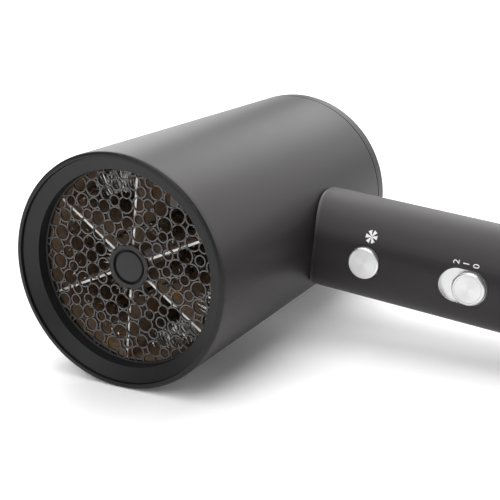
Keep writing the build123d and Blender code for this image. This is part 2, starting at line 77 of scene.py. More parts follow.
BARREL_R = in_barrel("barrel_shell")[1].z
SHELL_LOW, SHELL_HIGH = in_barrel("handle_shell")
HANDLE_R = (SHELL_HIGH.y - SHELL_LOW.y) / 2
HANDLE_Y = (SHELL_HIGH.y + SHELL_LOW.y) / 2
BUTTON_LOW, BUTTON_HIGH = in_barrel("cool_button")
BUTTON_X = (BUTTON_LOW.x + BUTTON_HIGH.x) / 2
KNOB_LOW, KNOB_HIGH = in_barrel("slide_knob")
KNOB_X = (KNOB_LOW.x + KNOB_HIGH.x) / 2
KNOB_R = (KNOB_HIGH.x - KNOB_LOW.x) / 2
KNOB_TRAVEL = JOINTS["speed_slide"]["range_m"][1] / MM
GRILLE_LOW, GRILLE_HIGH = in_barrel("outlet_grille")
TIP_X = in_barrel("handle_end_cap")[1].x
BUTTON_TURN = Matrix.Translation((BUTTON_X, 0, 0)) @ DEPTH  # the keys' turning frames
KNOB_TURN = Matrix.Translation((KNOB_X, 0, 0)) @ DEPTH
HUB_R = 7.3  # plain middle of the grille
OPEN_R = 31.5  # where the cells run into the grille's rim


# ---- modelling by hand ------------------------------------------------------------------
def clear_selection():
    """Object mode, with nothing selected."""
    if bpy.context.object and bpy.context.object.mode != "OBJECT":
        bpy.ops.object.mode_set(mode="OBJECT")
    bpy.ops.object.select_all(action="DESELECT")


def solo(piece):
    """Object mode, with this piece alone selected and active."""
    clear_selection()
    piece.select_set(True)
    bpy.context.view_layer.objects.active = piece


def edit(piece):
    """Edit mode in faces, with nothing selected."""
    solo(piece)
    bpy.ops.object.mode_set(mode="EDIT")
    bpy.ops.mesh.select_mode(type="FACE")
    bpy.ops.mesh.select_all(action="DESELECT")


def pick(piece, kind, test):
    """In edit mode, selects exactly the faces, edges or vertices that pass a test."""
    bpy.ops.mesh.select_all(action="DESELECT")
    mesh = bmesh.from_edit_mesh(piece.data)
    for item in getattr(mesh, kind):
        if test(item):
            item.select_set(True)
    mesh.select_flush_mode()
    bmesh.update_edit_mesh(piece.data)


def leave():
    """Back to object mode."""
    bpy.ops.object.mode_set(mode="OBJECT")


def settle(piece, matrix=PLACE, angle=32):
    """Puts a modelled piece in its place, with its normals outwards and its edges shaded."""
    piece.data.transform(matrix @ piece.matrix_world)
    piece.matrix_world = Matrix.Identity(4)
    edit(piece)
    bpy.ops.mesh.select_all(action="SELECT")
    bpy.ops.mesh.remove_doubles(threshold=1e-7)
    bpy.ops.mesh.normals_make_consistent(inside=False)
    leave()
    bpy.ops.object.shade_smooth_by_angle(angle=math.radians(angle))
    return piece


def copy_of(piece, matrix):
    """Copy with its own mesh, moved by a matrix."""
    twin = piece.copy()
    twin.data = piece.data.copy()
    twin.data.transform(matrix)
    bpy.context.scene.collection.objects.link(twin)
    return twin


def join(name, pieces):
    """One piece out of many."""
    clear_selection()
    for piece in pieces:
        piece.select_set(True)
    bpy.context.view_layer.objects.active = pieces[0]
    bpy.ops.object.join()
    pieces[0].name = pieces[0].data.name = name
    return pieces[0]


def remove(piece):
    """Takes a pattern or a tool out of the scene."""
    bpy.data.objects.remove(piece, do_unlink=True)


def modify(piece, kind, **settings):
    """Adds a modifier and applies it."""
    solo(piece)
    modifier = piece.modifiers.new(kind.title(), kind)
    for key, value in settings.items():
        setattr(modifier, key, value)
    bpy.ops.object.modifier_apply(modifier=modifier.name)


def turned(name, profile, steps=96, closed=False):
    """Piece turned about local Z: a circle extruded and resized from corner to corner.
    The profile is (radius, height); an open one is filled at its first and last circle."""
    clear_selection()
    r0, z0 = profile[0]
    bpy.ops.mesh.primitive_circle_add(
        vertices=steps, radius=r0, fill_type="NOTHING", location=(0, 0, 0)
    )
    piece = bpy.context.object
    piece.name = piece.data.name = name
    bpy.ops.object.mode_set(mode="EDIT")
    bpy.ops.mesh.select_mode(type="EDGE")
    bpy.ops.mesh.select_all(action="SELECT")
    bpy.ops.transform.translate(value=(0, 0, z0))
    if not closed:
        bpy.ops.mesh.fill()
        pick(piece, "edges", lambda e: len(e.link_faces) == 1)
    for (r_last, z_last), (r, z) in zip(profile, profile[1:]):
        bpy.ops.mesh.extrude_edges_move(TRANSFORM_OT_translate={"value": (0, 0, z - z_last)})
        bpy.ops.transform.resize(value=(r / r_last, r / r_last, 1), center_override=(0, 0, z))
    if closed:
        pick(piece, "edges", lambda e: len(e.link_faces) == 1)
        bpy.ops.mesh.bridge_edge_loops()
    else:
        bpy.ops.mesh.fill()
    leave()
    return piece


def arc(cx, cy, r, start, end, steps):
    """Points of an arc in a profile, angles in degrees."""
    points = []
    for k in range(steps + 1):
        angle = math.radians(start + (end - start) * k / steps)
        points.append((cx + r * math.cos(angle), cy + r * math.sin(angle)))
    return points


# ---- materials --------------------------------------------------------------------------
class Value:
    """Wraps a socket that carries a number, so that arithmetic on it adds Math nodes."""

    def __init__(self, tree, socket):
        self.tree = tree
        self.socket = socket

    def math(self, operation, *others):
        """Adds one Math node, whose first input is this value."""
        node = self.tree.nodes.new("ShaderNodeMath")
        node.operation = operation
        for slot, item in zip(node.inputs, (self, *others)):
            if isinstance(item, Value):
                self.tree.links.new(item.socket, slot)
            else:
                slot.default_value = item
        return Value(self.tree, node.outputs[0])

    def __add__(self, other):
        return self.math("ADD", other)

    __radd__ = __add__

    def __sub__(self, other):
        return self.math("SUBTRACT", other)

    def __rsub__(self, other):
        return self.math("MULTIPLY", -1.0).math("ADD", other)

    def __mul__(self, other):
        return self.math("MULTIPLY", other)

    __rmul__ = __mul__

    def __gt__(self, other):
        return self.math("GREATER_THAN", other)

    def __lt__(self, other):
        return self.math("LESS_THAN", other)

    def absolute(self):
        return self.math("ABSOLUTE")

    def sine(self):
        return self.math("SINE")

    def squared(self):
        return self.math("MULTIPLY", self)

    def root(self):
        return self.math("SQRT")

    def band(self, low, high):
        """0 below low, 1 above high, smooth between."""
        node = self.tree.nodes.new("ShaderNodeMapRange")
        node.interpolation_type = "SMOOTHSTEP"
        self.tree.links.new(self.socket, node.inputs["Value"])
        node.inputs["From Min"].default_value = low
        node.inputs["From Max"].default_value = high
        return Value(self.tree, node.outputs["Result"])


class Finish:
    """A material and its node tree."""

    def __init__(self, name, **fixed):
        self.material = bpy.data.materials.new(name)
        self.material.use_nodes = True
        self.tree = self.material.node_tree
        self.shader = self.tree.nodes["Principled BSDF"]
        for key, value in fixed.items():
            socket = self.shader.inputs[key.replace("_", " ").title().replace("Ior", "IOR")]
            socket.default_value = (*value, 1.0) if isinstance(value, tuple) else value
        self.object = self.node("ShaderNodeTexCoord").outputs["Object"]

    def node(self, kind, settings=None, inputs=None):
        """Any node: its type, its settings, then the values or links of its sockets."""
        node = self.tree.nodes.new(kind)
        for key, value in (settings or {}).items():
            setattr(node, key, value)
        for key, value in (inputs or {}).items():
            self.feed(node.inputs[key], value)
        return node

    def feed(self, socket, value):
        """Links a socket to a value or another socket, or sets it to a number or colour."""
        if isinstance(value, Value):
            self.tree.links.new(value.socket, socket)
        elif isinstance(value, bpy.types.NodeSocket):
            self.tree.links.new(value, socket)
        elif isinstance(value, tuple) and len(socket.default_value) == 4:
            socket.default_value = (*value, 1.0)
        else:
            socket.default_value = value

    def value(self, socket):
        """Wraps one of this material's sockets."""
        return Value(self.tree, socket)

    def noise(self, size_mm, detail=2.0, vector=None):
        """Soft noise from 0 to 1 whose blobs are about this size."""
        node = self.node(
            "ShaderNodeTexNoise", None,
            {"Vector": vector or self.object, "Scale": 1 / (size_mm * MM), "Detail": detail},
        )
        return self.value(node.outputs["Fac"])

    def placed(self, matrix):
        """Object coordinates taken back to a piece's own place and turn, in millimetres."""
        place, turn, _ = (PLACE @ matrix).decompose()
        moved = self.node(
            "ShaderNodeVectorMath", {"operation": "SUBTRACT"}, {0: self.object, 1: tuple(place)}
        )
        turned_back = self.node(
            "ShaderNodeMapping", {"vector_type": "POINT"},
            {"Vector": moved.outputs[0], "Rotation": turn.inverted().to_euler("XYZ"),
             "Scale": (1 / MM, 1 / MM, 1 / MM)},
        )
        split = self.node("ShaderNodeSeparateXYZ", None, {0: turned_back.outputs[0]})
        return [self.value(socket) for socket in split.outputs]

    def mix(self, factor, one, two):
        """Colour between two colours."""
        node = self.node(
            "ShaderNodeMix", {"data_type": "RGBA", "clamp_factor": True},
            {0: factor, 6: one, 7: two},
        )
        return node.outputs[2]

    def bump(self, height, depth_mm, strength):
        """Relief of this depth on the surface."""
        node = self.node(
            "ShaderNodeBump", None,
            {"Height": height, "Distance": depth_mm * MM, "Strength": strength},
        )
        self.feed(self.shader.inputs["Normal"], node.outputs[0])

    def set(self, key, value):
        """Feeds one of the shader's sockets."""
        self.feed(self.shader.inputs[key], value)


def soft_touch(name, colour, rim=None):
    """Matt, faintly velvety coating with a very fine grain. A rim colour goes on the front
    RIM_DEPTH millimetres."""
    finish = Finish(name, specular_ior_level=0.34)
    cloud = finish.noise(34, 3.0)
    grain = finish.noise(0.22, 1.0)
    tone = cloud * 0.6 + grain * 0.4
    dark = tuple(c * 0.93 for c in colour)
    light = tuple(c * 1.07 for c in colour)
    coat = finish.mix(tone, dark, light)
    if rim:
        _, depth, _ = finish.placed(Matrix.Identity(4))
        coat = finish.mix(depth.band(RIM_DEPTH - 0.3, RIM_DEPTH + 0.3), rim, coat)
    finish.set("Base Color", coat)
    finish.set("Roughness", cloud * 0.05 + grain * 0.05 + 0.41)
    finish.bump(grain, 0.012, 0.5)
    return finish.material


def moulded(name, colour, roughness=0.4, grain_mm=0.35, depth_mm=0.01, shine=0.5):
    """Plain moulded plastic with a fine spark texture."""
    finish = Finish(name, specular_ior_level=shine)
    grain = finish.noise(grain_mm, 2.0)
    cloud = finish.noise(12, 2.0)
    dark = tuple(c * 0.9 for c in colour)
    light = tuple(c * 1.1 for c in colour)
    finish.set("Base Color", finish.mix(cloud, dark, light))
    finish.set("Roughness", grain * 0.08 + (roughness - 0.04))
    finish.bump(grain, depth_mm, 0.5)
    return finish.material


def grille_plastic(name, colour, roughness):
    """Moulded plastic. Painted shade darkens it down in the cells, and it is darker on the hub
    and on the rim than on the cells.
    """
    finish = Finish(name, specular_ior_level=0.4)
    x, depth, z = finish.placed(Matrix.Identity(4))
    grain = finish.noise(0.4, 2.0)
    radius = (x.squared() + z.squared()).root()
    on_hub = 1 - radius.band(HUB_R - 0.05, HUB_R + 0.05)
    on_rim = radius.band(OPEN_R - 0.1, OPEN_R)
    # painted shade: the colour goes dark deeper than the cells' faces; the same mask darkens the
    # hub and the rim
    down = (depth - GRILLE_LOW.y).band(0.45, 0.8).math("MAXIMUM", on_hub * 0.85 + on_rim * 0.9)
    light = tuple(c * 1.12 for c in colour)
    # colour of the painted shade in the cells, and of the darker hub and rim
    dark = tuple(c * 0.16 for c in colour)
    finish.set("Base Color", finish.mix(down, finish.mix(grain, colour, light), dark))
    finish.set("Roughness", grain * 0.08 + down * 0.3 + (roughness - 0.04))
    finish.bump(grain, 0.01, 0.5)
    return finish.material


def metal(name, colour, roughness):
    """Worked metal: fine upright streaks, twelve times as long as they are wide."""
    finish = Finish(name, metallic=1.0)
    streaks = finish.node(
        "ShaderNodeMapping", {"vector_type": "TEXTURE"},
        {"Vector": finish.object, "Scale": (1.0, 1.0, 12.0)},
    )
    lines = finish.noise(0.15, vector=streaks.outputs[0])
    dark = tuple(c * 0.86 for c in colour)
    finish.set("Base Color", finish.mix(lines, dark, colour))
    finish.set("Roughness", lines * 0.14 + (roughness - 0.07))
    finish.bump(lines, 0.006, 0.4)
    return finish.material


def turned_metal(name, colour, place):
    """Lathe-turned aluminium: fine rings round the middle of the face, and a painted sheen: a
    soft sweep of light and dark round the middle, painted into the colour."""
    ring_pitch = 0.2
    finish = Finish(name, metallic=0.9)
    x, y, _ = finish.placed(place)
    radius = (x.squared() + y.squared()).root()
    rings = finish.node(
        "ShaderNodeTexNoise", {"noise_dimensions": "1D"},
        {"W": radius, "Scale": 1 / ring_pitch, "Detail": 3.0},
    )
    rings = finish.value(rings.outputs["Fac"])
    # painted sheen: light and dark painted into the colour by the angle round the middle
    painted_sheen = (y.math("ARCTAN2", x) * 2 + 0.9).sine() * 0.5 + 0.5
    smear = finish.noise(1.4, 2.0)
    dark = tuple(c * 0.72 for c in colour)
    finish.set("Base Color", finish.mix(rings * 0.4 + smear * 0.2 + painted_sheen * 0.4, dark, colour))
    finish.set("Roughness", rings * 0.18 + smear * 0.06 + 0.24)
    finish.bump(rings, 0.016, 0.7)
    return finish.material


def mica(name, face, edge=None, edge_y=None):
    """Pressed mica: glittering flakes and amber patches in a brown sheet, pale where it is cut,
    in front of a depth."""
    flake_size = 1.1 * MM
    finish = Finish(name, specular_ior_level=0.6)
    flakes = finish.node(
        "ShaderNodeTexVoronoi", {"feature": "F1"},
        {"Vector": finish.object, "Scale": 1 / flake_size},
    )
    split = finish.node("ShaderNodeSeparateColor", None, {0: flakes.outputs["Color"]})
    flake = finish.value(split.outputs[0])
    cloud = finish.noise(5, 3.0)
    amber = finish.noise(5.5, 1.0).band(0.66, 0.72)
    dark = tuple(c * 0.62 for c in face)
    light = tuple(min(1.0, c * 1.35) for c in face)
    colour = finish.mix(flake * 0.6 + cloud * 0.4, dark, light)
    colour = finish.mix(amber, colour, AMBER)
    if edge:
        _, depth, _ = finish.placed(Matrix.Identity(4))
        cut = depth < edge_y
        colour = finish.mix(cut, colour, edge)
    finish.set("Base Color", colour)
    finish.set("Roughness", flake * 0.25 + 0.28)
    finish.bump(flake, 0.02, 0.6)
    return finish.material


def woven(name, colour):
    """Fine woven wire cloth."""
    wire_pitch = 0.9
    finish = Finish(name, metallic=0.9)
    x, _, z = finish.placed(Matrix.Identity(4))
    turn = math.tau / wire_pitch
    weave = (x * turn).sine() * (z * turn).sine() * 0.5 + 0.5
    dark = tuple(c * 0.12 for c in colour)
    finish.set("Base Color", finish.mix(weave.band(0.35, 0.6), dark, colour))
    finish.set("Roughness", weave * 0.2 + 0.3)
    finish.bump(weave, 0.12, 0.7)
    return finish.material


def ink(name, colour):
    """Screen-printed ink."""
    finish = Finish(name, specular_ior_level=0.4)
    grain = finish.noise(0.18, 2.0)
    dark = tuple(c * 0.9 for c in colour)
    finish.set("Base Color", finish.mix(grain, dark, colour))
    finish.set("Roughness", grain * 0.1 + 0.45)
    return finish.material


def tray_metal(name, colour, lip_colour, lip_r):
    """Satin aluminium inside the tray, and the casing's own coating on its outer lip."""
    finish = Finish(name)
    x, _, z = finish.placed(Matrix.Translation((KNOB_X - KNOB_TRAVEL / 2, 0, 0)))
    past_end = (x.absolute() - KNOB_TRAVEL / 2).math("MAXIMUM", 0.0)
    lip = (past_end.squared() + z.squared()).root() > lip_r
    lines = finish.noise(0.3, 2.0)
    dark = tuple(c * 0.9 for c in colour)
    finish.set("Base Color", finish.mix(lip, finish.mix(lines, dark, colour), lip_colour))
    finish.set("Metallic", 0.9 - lip * 0.9)
    finish.set("Roughness", lines * 0.12 + lip * 0.08 + 0.34)
    finish.bump(lines, 0.006, 0.4)
    return finish.material


CHARCOAL = (0.0182, 0.0146, 0.0167)
RIM_BLACK = (0.006, 0.0056, 0.0058)
RIM_DEPTH = 2.0
TRAY_LIP_R = KNOB_R + 0.34  # the tray's bright inside ends here
AMBER = (0.52, 0.235, 0.05)
ALUMINIUM = (0.76, 0.76, 0.765)
BRIGHT_ALUMINIUM = (0.93, 0.93, 0.935)

shell_finish = soft_touch("shell_soft_touch", CHARCOAL)
barrel_finish = soft_touch("barrel_soft_touch", CHARCOAL, RIM_BLACK)
bezel_finish = moulded("bezel_satin", (0.014, 0.0132, 0.0138), 0.46, 0.5, shine=0.3)
grille_finish = grille_plastic("grille_satin", (0.082, 0.077, 0.076), 0.36)
board_edge_y = in_barrel("heater_board_1")[0].y + 0.06
board_finish = mica("mica_board", (0.33, 0.245, 0.18), (1.0, 0.985, 0.95), board_edge_y)
liner_finish = mica("mica_liner", (0.34, 0.24, 0.165))
wire_finish = metal("heater_wire", (0.56, 0.54, 0.52), 0.26)
ceramic_finish = moulded("ceramic", (0.55, 0.52, 0.48), 0.5, 0.6)
steel_finish = metal("plated_steel", (0.62, 0.62, 0.63), 0.28)
dark_steel_finish = metal("screw_steel", (0.34, 0.34, 0.35), 0.35)
bronze_finish = metal("sintered_bronze", (0.60, 0.43, 0.22), 0.42)
copper_finish = metal("copper", (0.78, 0.42, 0.24), 0.28)
dark_finish = moulded("dark_plastic", (0.028, 0.028, 0.028), 0.42)
duct_finish = moulded("duct_plastic", (0.055, 0.055, 0.058), 0.5)
fan_finish = moulded("fan_plastic", (0.11, 0.11, 0.115), 0.45)
white_finish = moulded("white_plastic", (0.72, 0.71, 0.68), 0.4)
green_finish = moulded("board_mask", (0.03, 0.15, 0.07), 0.3, 0.8)
red_finish = moulded("red_sleeve", (0.36, 0.03, 0.025), 0.55, 0.3)
glass_sleeve_finish = moulded("glass_sleeve", (0.62, 0.60, 0.56), 0.7, 0.3, 0.05)
rubber_finish = moulded("gland_rubber", (0.022, 0.022, 0.022), 0.7, 0.25, 0.02)
screen_finish = moulded("screen_coat", (0.030, 0.030, 0.031), 0.45, 0.3)
weave_finish = woven("filter_weave", (0.42, 0.42, 0.42))
print_finish = ink("white_print", (0.86, 0.86, 0.85))

tray_finish = tray_metal("tray_aluminium", ALUMINIUM, CHARCOAL, TRAY_LIP_R)
button_finish = turned_metal("button_aluminium", BRIGHT_ALUMINIUM, BUTTON_TURN)
knob_finish = turned_metal("knob_aluminium", ALUMINIUM, KNOB_TURN)


def dress(piece, material, body, slot, *nodes):
    """Gives a new piece its finish and its body, and hides the CAD nodes it stands for. The slot
    is not used.
    """
    piece.data.materials.clear()
    piece.data.materials.append(material)
    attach(piece, body)
    if nodes:
        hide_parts(*nodes)


# ---- outlet grille ----------------------------------------------------------------------
GRILLE_FACE = GRILLE_LOW.y + 0.3
GRILLE_BACK = GRILLE_HIGH.y
GRILLE_OUT = GRILLE_HIGH.x
CAP_R = 5.0
WEB = 0.42  # wall between two cells
CELL_DEPTH = 0.7
CELL_SIZES = (2.85, 2.45, 1.95)  # radii over the wall
CELL_SHARES = (0.42, 0.30, 0.28)
CELL_COUNT = 153
CELL_STEPS = 16
PACK_R = OPEN_R + 1.4  # the rim cuts the outermost cells
SMALL_OVERLAP = 0.5  # how far the smallest cells cut into their neighbours
GROW_STEPS = 300  # the cells grow over these steps, and settle over the rest
PACK_STEPS = 500
LONGEST_PUSH = 0.6
PUSH_SHARE = 0.3  # of the push, taken up in one step
LEAST_CUT = 0.12  # cells that overlap by less are left uncut


def pack_cells():
    """Round cells that grow until they touch, the smallest ones cutting into their neighbours.
    Rows of x, z and radius, the largest first."""
    rng = random.Random(29)
    golden = math.pi * (3 - math.sqrt(5))
    rows = []
    for k in range(CELL_COUNT):
        share = (k + 0.5) / CELL_COUNT
        r = math.sqrt(HUB_R**2 + share * (PACK_R**2 - HUB_R**2))
        size = rng.choices(CELL_SIZES, CELL_SHARES)[0]
        rows.append((r * math.cos(k * golden), r * math.sin(k * golden), size))
    cells = np.array(rows)
    want = cells[:, None, 2] + cells[None, :, 2] - WEB
    smallest = np.minimum(cells[:, None, 2], cells[None, :, 2])
    want = want - SMALL_OVERLAP * (smallest < CELL_SIZES[1])
    for step in range(PACK_STEPS):
        grown = want * min(1.0, 0.8 + 0.2 * step / GROW_STEPS)
        apart = cells[:, None, :2] - cells[None, :, :2]
        gap = np.linalg.norm(apart, axis=2) + 1e-9
        push = np.clip(grown - gap, 0, LONGEST_PUSH)
        np.fill_diagonal(push, 0)
        cells[:, :2] += PUSH_SHARE * (apart / gap[..., None] * push[..., None]).sum(axis=1)
        r = np.linalg.norm(cells[:, :2], axis=1)
        low = HUB_R + cells[:, 2] - WEB
        high = PACK_R - 0.3 * cells[:, 2]
        cells[:, :2] *= (np.clip(r, low, high) / r)[:, None]
    return cells[np.argsort(-cells[:, 2], kind="stable")]


def cell_wall(radius):
    """One cell's wall: a circle drawn inwards by the web, then out to its depth."""
    clear_selection()
    bpy.ops.mesh.primitive_circle_add(
        vertices=CELL_STEPS, radius=radius, fill_type="NOTHING", location=(0, 0, GRILLE_FACE)
    )
    wall = bpy.context.object
    bpy.ops.object.mode_set(mode="EDIT")
    bpy.ops.mesh.select_all(action="SELECT")
    inner = (radius - WEB) / radius
    bpy.ops.mesh.extrude_edges_move(TRANSFORM_OT_translate={"value": (0, 0, 0)})
    bpy.ops.transform.resize(value=(inner, inner, 1), center_override=(0, 0, GRILLE_FACE))
    bpy.ops.mesh.select_all(action="SELECT")
    bpy.ops.mesh.extrude_region_move(TRANSFORM_OT_translate={"value": (0, 0, CELL_DEPTH)})
    bpy.ops.mesh.select_all(action="SELECT")
    bpy.ops.mesh.normals_make_consistent(inside=False)
    leave()
    return settle_pattern(wall)


def cell_cutter(radius):
    """Plug the size of a cell's opening, which trims the larger cells beside it."""
    clear_selection()
    bpy.ops.mesh.primitive_cylinder_add(
        vertices=CELL_STEPS, radius=radius - WEB / 2, depth=4, location=(0, 0, GRILLE_FACE)
    )
    return settle_pattern(bpy.context.object)


def settle_pattern(piece):
    """Moves a pattern's place into its mesh, so that copies of it can be shifted."""
    piece.data.transform(piece.matrix_world)
    piece.matrix_world = Matrix.Identity(4)
    return piece


def spot(x, z):
    """Shift across the grille, in the turning frame whose local Y points down the barrel's Z."""
    return Matrix.Translation((x, -z, 0))


def trim(wall, cutter, shift):
    """Cuts a wall with a copy of a cutter."""
    tool = copy_of(cutter, shift)
    modify(wall, "BOOLEAN", object=tool, operation="DIFFERENCE", solver="EXACT")
    remove(tool)


def outlet_grille():
    """Open-cell grille: round cells of three sizes between a plain hub and a rim."""
    cells = pack_cells()
    walls = {size: cell_wall(size) for size in CELL_SIZES}
    cutters = {size: cell_cutter(size) for size in CELL_SIZES}
    cut_r, past_r = OPEN_R + 0.7, OPEN_R + 8.5
    outside = turned("outside", [
        (cut_r, GRILLE_FACE - 1), (past_r, GRILLE_FACE - 1), (past_r, GRILLE_BACK + 1),
        (cut_r, GRILLE_BACK + 1),
    ], 96, closed=True)
    pieces = []
    for row, (x, z, size) in enumerate(cells):
        wall = copy_of(walls[size], spot(x, z))
        for x2, z2, size2 in cells[row + 1:]:
            if math.hypot(x2 - x, z2 - z) < size + size2 - WEB - LEAST_CUT:
                trim(wall, cutters[size2], spot(x2, z2))
        if math.hypot(x, z) + size > cut_r:
            trim(wall, outside, Matrix.Identity(4))
        pieces.append(wall)
    rim_y = GRILLE_LOW.y + 0.05
    rim = turned("rim", [
        (OPEN_R, GRILLE_BACK), (OPEN_R, rim_y + 0.2), (OPEN_R + 0.2, rim_y),
        (GRILLE_OUT, rim_y), (GRILLE_OUT, GRILLE_BACK),
    ], 128, closed=True)
    gap_r = CAP_R + 0.75
    hub = turned("hub", [
        (gap_r, GRILLE_BACK), (gap_r, GRILLE_FACE + 0.12), (gap_r + 0.12, GRILLE_FACE),
        (HUB_R, GRILLE_FACE), (HUB_R, GRILLE_BACK),
    ], 64, closed=True)
    grille = join("grille_cells", [rim, hub, *pieces])
    for pattern in (*walls.values(), *cutters.values(), outside):
        remove(pattern)
    settle(grille, PLACE @ DEPTH, 40)
    dress(grille, grille_finish, "housing", "grille_black", "outlet_grille")


def grille_cap():
    """Plain round cap in a shadow gap, a little domed."""
    face = GRILLE_FACE + 0.1
    back = GRILLE_BACK + 0.6
    profile = [(0.5, face - 0.02), (2.5, face), (CAP_R - 0.5, face + 0.1)]
    profile += arc(CAP_R - 0.5, face + 0.6, 0.5, -90, 0, 5)
    profile += [(CAP_R, GRILLE_BACK), (CAP_R + 1.0, GRILLE_BACK), (CAP_R + 1.0, back)]
    cap = turned("grille_cap", profile, 64)
    settle(cap, PLACE @ DEPTH)
    dress(cap, grille_finish, "housing", "grille_black", "hub_cap")


# ---- heater windings --------------------------------------------------------------------
def bunched(angle, bunches):
    """1 where the coil is wound tight, 0 where it is stretched out. A bunch loosens from
    4 degrees inside its end to 8 degrees past it."""
    tight = 0.0
    for start, end in bunches:
        middle, half = (start + end) / 2, (end - start) / 2
        off = abs((angle - middle + 180) % 360 - 180)
        tight = max(tight, min(1.0, max(0.0, (half + 8 - off) / 12)))
    return tight


TURN_ROOM = 5.0  # length of a winding's CAD piece for each turn after the first
TURN_PITCH = 4.6  # from one turn to the next, down the barrel
LOOP_POINTS = 10
LOOP_STEP = 1.3  # from loop to loop where the coil is bunched
NARROW = 0.35  # half the coil's width where it goes through a board
FORWARD = 2.0  # how far a bunched stretch comes to the front
BOARD_STEP = 60  # degrees from board to board

# Where the windings are bunched, in degrees from the handle's side over the top.
OUTER_BUNCHES = ((93, 126), (290, 326), (338, 352))
INNER_BUNCHES = ((150, 205), (212, 262))


def coil(name, node, ring_r, reach, depth_r, wire_r, bunches, sag):
    """Flattened coil of wire run round the boards, turn behind turn. Its loops are as deep as
    depth_r. Where it is bunched they reach in and out, and it sags in; it is narrow where it
    goes through a board."""
    low, high = in_barrel(node)
    turns = round((high.y - low.y) / TURN_ROOM) + 1
    points = []
    for turn in range(turns):
        y = low.y + depth_r + turn * TURN_PITCH
        angle, phase = 0.0, 0.0
        while angle < 360:
            tight = bunched(angle, bunches)
            from_board = abs(angle % BOARD_STEP - BOARD_STEP / 2)
            clear = math.radians(from_board) * ring_r
            free = min(1.0, max(0.0, (clear - 1.0) / 1.5))
            loose = tight * free
            radial = NARROW + (reach - NARROW) * loose
            r = ring_r - sag * loose + radial * math.cos(phase)
            depth = y - FORWARD * loose + (depth_r - wire_r) * math.sin(phase)
            way = math.radians(angle)
            points.append((r * math.cos(way), depth, r * math.sin(way)))
            phase += math.tau / LOOP_POINTS
            angle += math.degrees(LOOP_STEP * (2.2 - 1.2 * tight) / LOOP_POINTS / ring_r)
    curve = bpy.data.curves.new(name, "CURVE")
    curve.dimensions = "3D"
    spline = curve.splines.new("POLY")
    spline.points.add(len(points) - 1)
    for point, place in zip(spline.points, points):
        point.co = (*place, 1)
    curve.bevel_depth = wire_r
    curve.bevel_resolution = 0
    curve.use_fill_caps = True
    wire = bpy.data.objects.new(name, curve)
    bpy.context.scene.collection.objects.link(wire)
    solo(wire)
    bpy.ops.object.convert(target="MESH")
    settle(wire, PLACE, 80)
    dress(wire, wire_finish, "housing", "heater_wire", node)


# ---- keys -------------------------------------------------------------------------------
def depth_span(node, x, over_r):
    """Least and greatest depth of a node's vertices farther than over_r from the line at x."""
    back = PLACE.inverted()
    places = [back @ v.co for v in frame["nodes"][node].data.vertices]
    depths = [c.y for c in places if math.hypot(c.x - x, c.z) > over_r]
    return min(depths), max(depths)


def key_face(radius, top):
    """Profile of a turned key's front: a flat face, a fine groove and a chamfered edge."""
    land = radius - 0.95
    profile = [(0.25, top + 0.05), (land - 0.16, top + 0.05), (land - 0.1, top + 0.14)]
    profile += [(land + 0.02, top + 0.14), (land + 0.08, top), (radius - 0.42, top)]
    profile += [(radius - 0.12, top + 0.2), (radius, top + 0.42)]
    return profile


BUTTON_R = 5.4  # its flange behind the casing is wider
BUTTON_STEM_R = 1.5
KNOB_STEM = (2.8, 2.2)  # along the handle and across it


def cool_key():
    """Turned button with a flange that keeps it in the casing, and its stem."""
    flange, flange_end = depth_span("cool_button", BUTTON_X, BUTTON_R + 0.5)
    flange_r = (BUTTON_HIGH.x - BUTTON_LOW.x) / 2
    profile = key_face(BUTTON_R, BUTTON_LOW.y)
    profile += [(BUTTON_R, flange), (flange_r, flange), (flange_r, flange_end)]
    profile += [(BUTTON_STEM_R, flange_end), (BUTTON_STEM_R, BUTTON_HIGH.y)]
    key = turned("cool_key_cap", profile, 80)
    settle(key, PLACE @ BUTTON_TURN, 25)
    dress(key, button_finish, "cool_key", "satin_aluminium", "cool_button")


def speed_key():
    """Turned knob with the stem that goes through the tray."""
    _, skirt_end = depth_span("slide_knob", KNOB_X, KNOB_R - 0.5)
    stem_end = KNOB_HIGH.y
    knob = turned("speed_key_cap", key_face(KNOB_R, KNOB_LOW.y) + [(KNOB_R, skirt_end)], 80)
    clear_selection()
    bpy.ops.mesh.primitive_cube_add(size=1, location=(0, 0, (skirt_end + stem_end) / 2))
    stem = bpy.context.object
    edit(stem)
    bpy.ops.mesh.select_all(action="SELECT")
    bpy.ops.transform.resize(value=(*KNOB_STEM, stem_end - skirt_end + 0.1))
    pick(stem, "edges", lambda e: abs((e.verts[0].co - e.verts[1].co).z) > 0.5)
    bpy.ops.mesh.bevel(offset=0.25, segments=3)
    leave()
    settle_pattern(stem)
    knob = join("speed_key_cap", [knob, stem])
    settle(knob, PLACE @ KNOB_TURN, 25)
    dress(knob, knob_finish, "speed_key", "satin_aluminium", "slide_knob")


# ---- end of the handle ------------------------------------------------------------------
def from_tip(z=0.0, depth=0.0):
    """Turning frame whose local Z goes in from the handle's tip."""
    quarter_back = Matrix.Rotation(math.radians(-90), 4, "Y")
    return Matrix.Translation((TIP_X - depth, HANDLE_Y, z)) @ quarter_back


